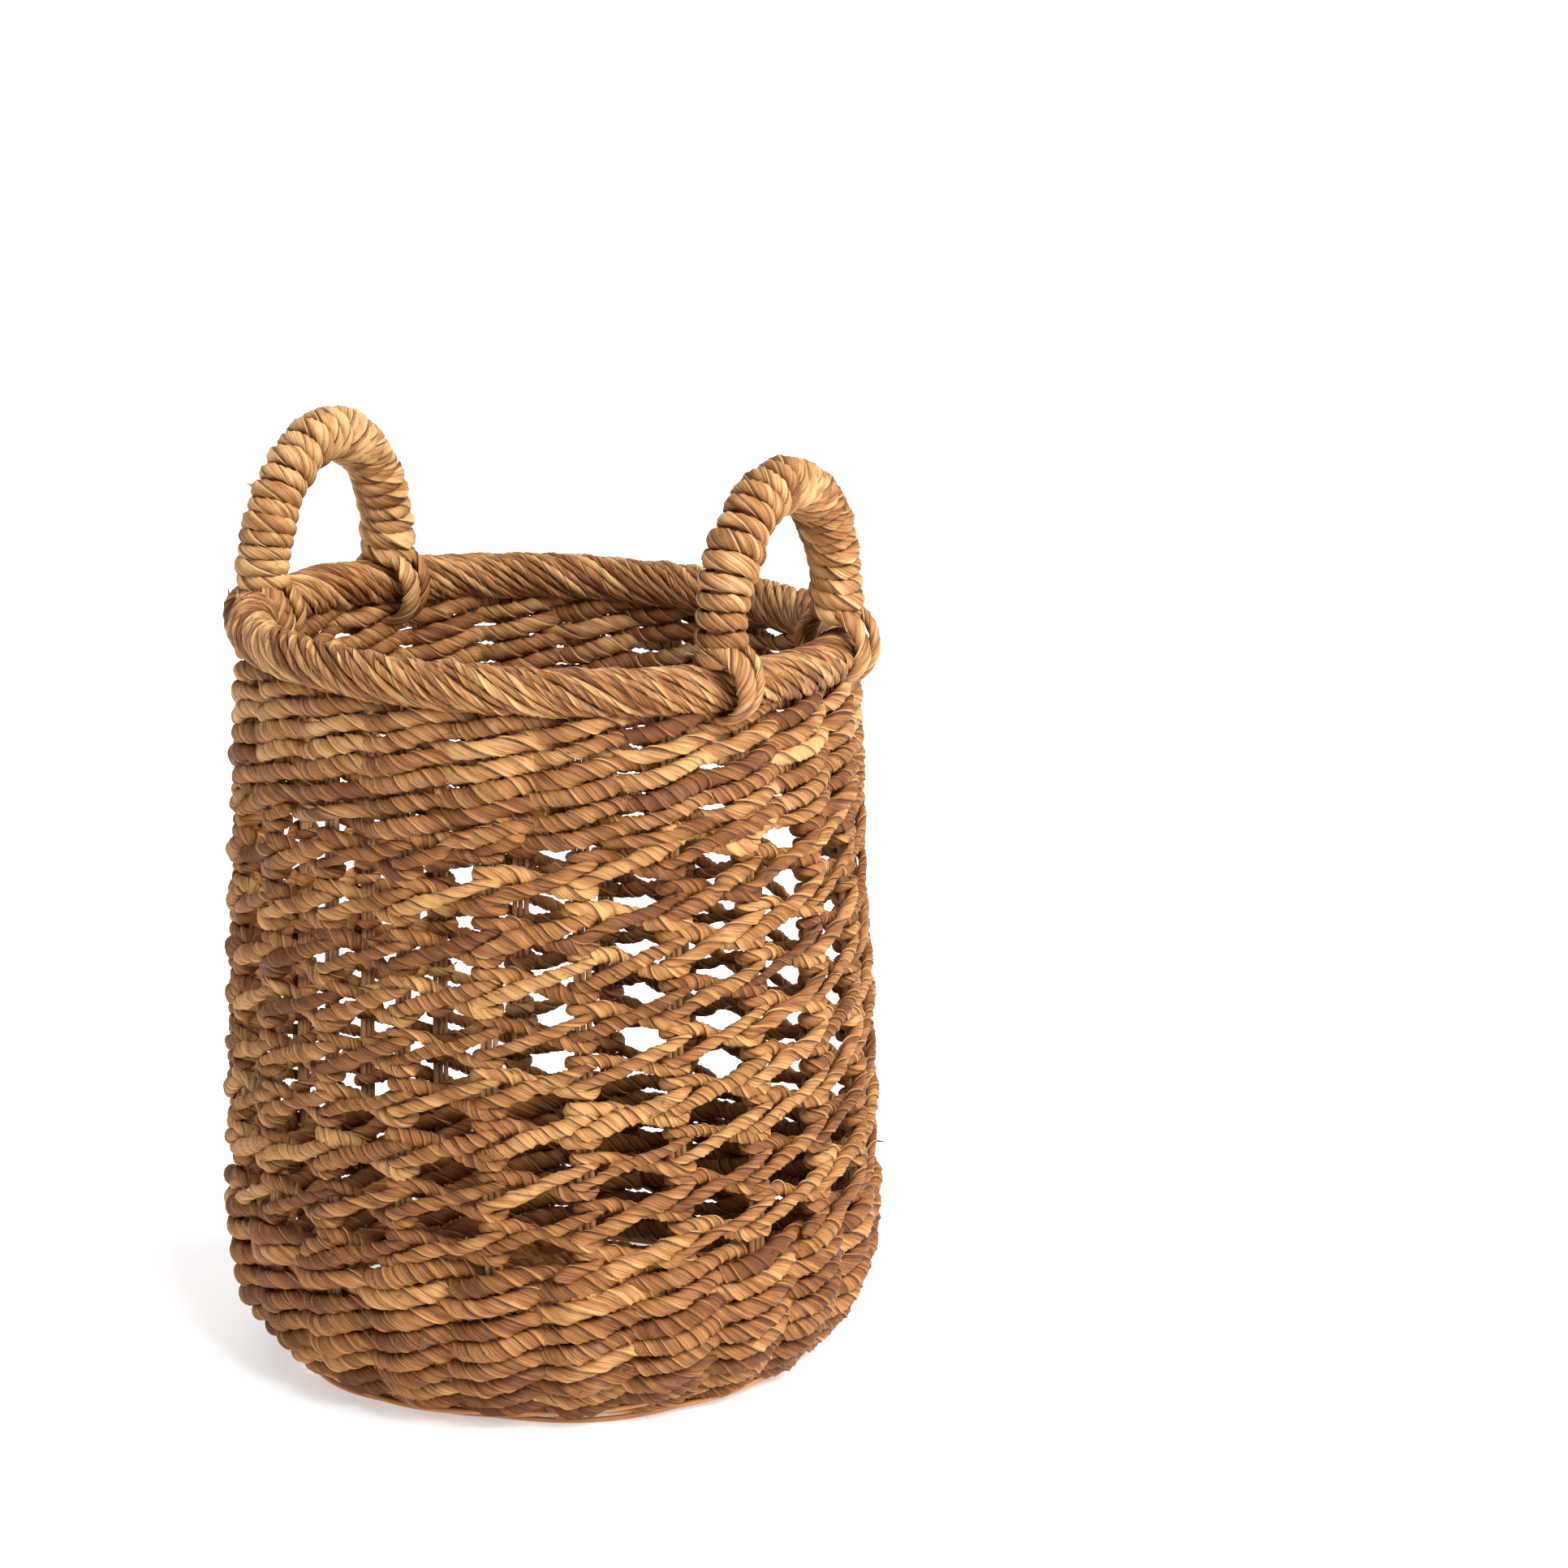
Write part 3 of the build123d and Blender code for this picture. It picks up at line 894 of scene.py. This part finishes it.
class BASKET_OT_handles(bpy.types.Operator):
    """Wraps both handles: a strand coiled round the bent core, and two tails round the rim at each foot."""

    bl_idname = "basket.wrap_handles"
    bl_label = "Wrap handles"

    def arch(self, name, lean):
        """Middle line of a handle, half an ellipse from its front foot over to its back foot."""
        low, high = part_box(f"handle_{name}_wrap")
        thickness = high[0] - low[0]
        x = (low[0] + high[0]) / 2
        foot = high[1] - thickness / 2
        rise = high[2] - thickness / 2 - low[2]
        points = [(-foot, low[2] - 0.009)]
        points += [(-foot * cos(a), low[2] + rise * sin(a)) for a in np.linspace(0, pi, 19)]
        points += [(foot, low[2] - 0.009)]
        run = through(points, 12)
        height = run[:, 1] - low[2]
        return np.stack([x + lean * height, run[:, 0], run[:, 1]], axis=1)

    def execute(self, context):
        strands = context.scene.basket_strands
        for side, name, lean in ((1, "right", 0.02), (-1, "left", 0.03)):
            rng = np.random.default_rng(800 + side)
            body = f"handle_{name}"
            arch = evenly(self.arch(name, lean), 0.0006)
            along = distance_along(arch)
            heading = unit(np.gradient(arch, axis=0))
            flank = np.array([1.0, 0, 0])
            inner = unit(np.cross(heading, flank))
            coil = Bundle(f"handle_{name}_coil")
            pace = 1 + 0.18 * wander(rng, along, 0.05) + 0.10 * wander(rng, along, 0.015)
            turn = 2 * pi * np.cumsum(pace) * (along[1] - along[0]) / strands.coil_pitch
            dense = np.linspace(0, along[-1], int(along[-1] / strands.coil_pitch * 90))
            turns = np.interp(dense, along, turn)
            centre = np.stack([np.interp(dense, along, arch[:, i]) for i in range(3)], axis=1)
            away = unit(np.stack([np.interp(dense, along, inner[:, i]) for i in range(3)], axis=1))
            spin = -turns
            facing = np.cos(spin)[:, None] * flank + np.sin(spin)[:, None] * away
            thickness = span(f"handle_{name}_wrap", 0)
            reach = thickness / 2 - strands.coil_width * 0.36
            reach = reach + 0.0007 * wander(rng, dense, 0.02)
            slant = 0.0021 * np.cos(turns + 0.6)
            tangent = unit(np.gradient(centre, axis=0))
            run = centre + facing * reach[:, None] + tangent * slant[:, None]
            run = evenly(np.column_stack([run, centre]), strands.ring_step)
            twisted_leaf(coil, run[:, :3], run[:, :3] - run[:, 3:], strands.coil_width, rng, thick=0.84,
                         twist=0.030, edge=0.13, tone=0.04, fray=1.3)
            settle(coil, "leaf_handle", body, f"handle_{name}_wrap")
            core = Bundle(f"handle_{name}_bent_core")
            smooth_rod(core, evenly(arch, 0.006), flank[None], thickness * 0.52, rng, sides=12)
            settle(core, "rattan_hoop", body, f"handle_{name}_core")
            for foot in ("front", "back"):
                node = f"handle_{name}_lashing_{foot}"
                bundle = Bundle(f"handle_{name}_tails_{foot}")
                x, y, z = middle(node)
                half = span(node, 0) / 2
                for tail in (-1, 1):
                    points = []
                    for step in range(-1, 16):
                        a = 2 * pi * step / 14 + pi / 2
                        low = (1 - sin(a)) / 2
                        reach = half - 0.002 + 0.002 * low
                        spread = 1 if cos(a) * side > 0 else 0.8
                        aside = tail * (0.0092 * (1 - low) + 0.0040 * low) * spread
                        points.append((x + side * reach * cos(a), y + aside, z + reach * sin(a) + 0.001))
                    run = evenly(through(points, 10), strands.ring_step)
                    twisted_leaf(bundle, run, run - np.array([x, y, z]), strands.tail_width, rng,
                                 thick=0.62, twist=0.030, edge=0.13, fray=1.0)
                settle(bundle, "leaf_handle", body, node)
        return {"FINISHED"}


# ---- stage ---------------------------------------------------------------------------------------
class BASKET_OT_stage(bpy.types.Operator):
    """Sets a plain pale floor, soft lights and the camera."""

    bl_idname = "basket.set_stage"
    bl_label = "Set stage"

    def lamp(self, kind, name, place, target, power, **settings):
        """A light that faces a point."""
        bpy.ops.object.select_all(action="DESELECT")
        bpy.ops.object.light_add(type=kind, location=place)
        lamp = bpy.context.object
        lamp.name = name
        lamp.data.energy = power
        for setting, value in settings.items():
            setattr(lamp.data, setting, value)
        lamp.rotation_euler = (Vector(target) - Vector(place)).to_track_quat("-Z", "Y").to_euler()

    def execute(self, context):
        s = context.scene.basket_stage
        bpy.ops.object.select_all(action="DESELECT")
        bpy.ops.mesh.primitive_plane_add(size=120, location=(0, 0, 0))
        floor = context.object
        floor.name = "floor"
        coat = Shader("floor_paint")
        plain = {"Base Color": (*s.floor, 1), "Roughness": 0.7, "Emission Color": (1, 1, 1, 1),
                 "Emission Strength": 0.4}      # a little light of its own keeps the floor white
        for name, value in plain.items():
            coat.surface.inputs[name].default_value = value
        floor.data.materials.append(coat.material)

        a = s.view_side
        ahead = np.array([-sin(a), cos(a), 0])
        aside = np.array([cos(a), sin(a), 0])
        eye = -ahead * s.distance + UP * s.height
        look = ahead * cos(s.look_aside) + aside * sin(s.look_aside)
        look = look * cos(s.look_down) - UP * sin(s.look_down)
        bpy.ops.object.camera_add(location=eye)
        camera = context.object
        camera.name = "camera"
        camera.rotation_euler = Vector(look).to_track_quat("-Z", "Y").to_euler()
        camera.data.lens = s.lens
        camera.data.sensor_width = 36
        camera.data.clip_start = 0.05
        context.scene.camera = camera

        middle_of_wall, foot = (0, 0, 0.25), (0, 0, 0)
        self.lamp("AREA", "key_light", aside * 1.7 - ahead * 1.3 + UP * 2.1, middle_of_wall, 36, size=0.6,
                  color=(1.0, 0.95, 0.88))
        self.lamp("AREA", "gloss_light", aside * 0.5 - ahead * 1.9 + UP * 2.6, middle_of_wall, 15, size=0.4)
        self.lamp("SUN", "sky_light", aside * 0.85 - ahead * 0.55 + UP, foot, 3.1, angle=radians(60))
        self.lamp("SUN", "back_light", ahead * 0.9 - aside * 0.7 + UP * 0.9, foot, 0.9, angle=radians(90))
        world = bpy.data.worlds.new("pale_room")
        context.scene.world = world
        world.use_nodes = True
        world.node_tree.nodes["Background"].inputs[0].default_value = (1.0, 1.0, 1.0, 1)
        world.node_tree.nodes["Background"].inputs[1].default_value = 0.44
        context.scene.view_settings.view_transform = "Standard"
        return {"FINISHED"}


class BASKET_PT_panel(bpy.types.Panel):
    """The basket's settings and steps."""

    bl_label = "Woven Basket"
    bl_idname = "BASKET_PT_panel"
    bl_space_type = "VIEW_3D"
    bl_region_type = "UI"
    bl_category = "Basket"

    def draw(self, context):
        for group in GROUPS:
            box = self.layout.box()
            settings = getattr(context.scene, group)
            for name in settings.bl_rna.properties.keys():
                if name not in ("name", "rna_type"):
                    box.prop(settings, name)
        for operator in OPERATORS:
            self.layout.operator(operator.bl_idname)


GROUPS = {
    "basket_wall": BasketWallSettings,
    "basket_strands": BasketStrandSettings,
    "basket_colours": BasketColourSettings,
    "basket_stage": BasketStageSettings,
}
OPERATORS = (BASKET_OT_base, BASKET_OT_stakes, BASKET_OT_foot, BASKET_OT_lower, BASKET_OT_lattice,
             BASKET_OT_upper, BASKET_OT_rim, BASKET_OT_handles, BASKET_OT_stage)


def register():
    """Adds the classes, and the settings on the scene."""
    for cls in (*GROUPS.values(), *OPERATORS, BASKET_PT_panel):
        bpy.utils.register_class(cls)
    for name, cls in GROUPS.items():
        setattr(bpy.types.Scene, name, PointerProperty(type=cls))


def unregister():
    """Takes the settings and the classes away again."""
    for name in GROUPS:
        delattr(bpy.types.Scene, name)
    for cls in (BASKET_PT_panel, *reversed(OPERATORS), *reversed(GROUPS.values())):
        bpy.utils.unregister_class(cls)


def main():
    """Makes every piece in order."""
    register()
    bpy.ops.basket.weave_base()
    bpy.ops.basket.set_stakes()
    bpy.ops.basket.twine_foot()
    bpy.ops.basket.weave_lower_band()
    bpy.ops.basket.weave_lattice()
    bpy.ops.basket.weave_upper_band()
    bpy.ops.basket.lay_rim()
    bpy.ops.basket.wrap_handles()
    bpy.ops.basket.set_stage()


if __name__ == "__main__":
    main()
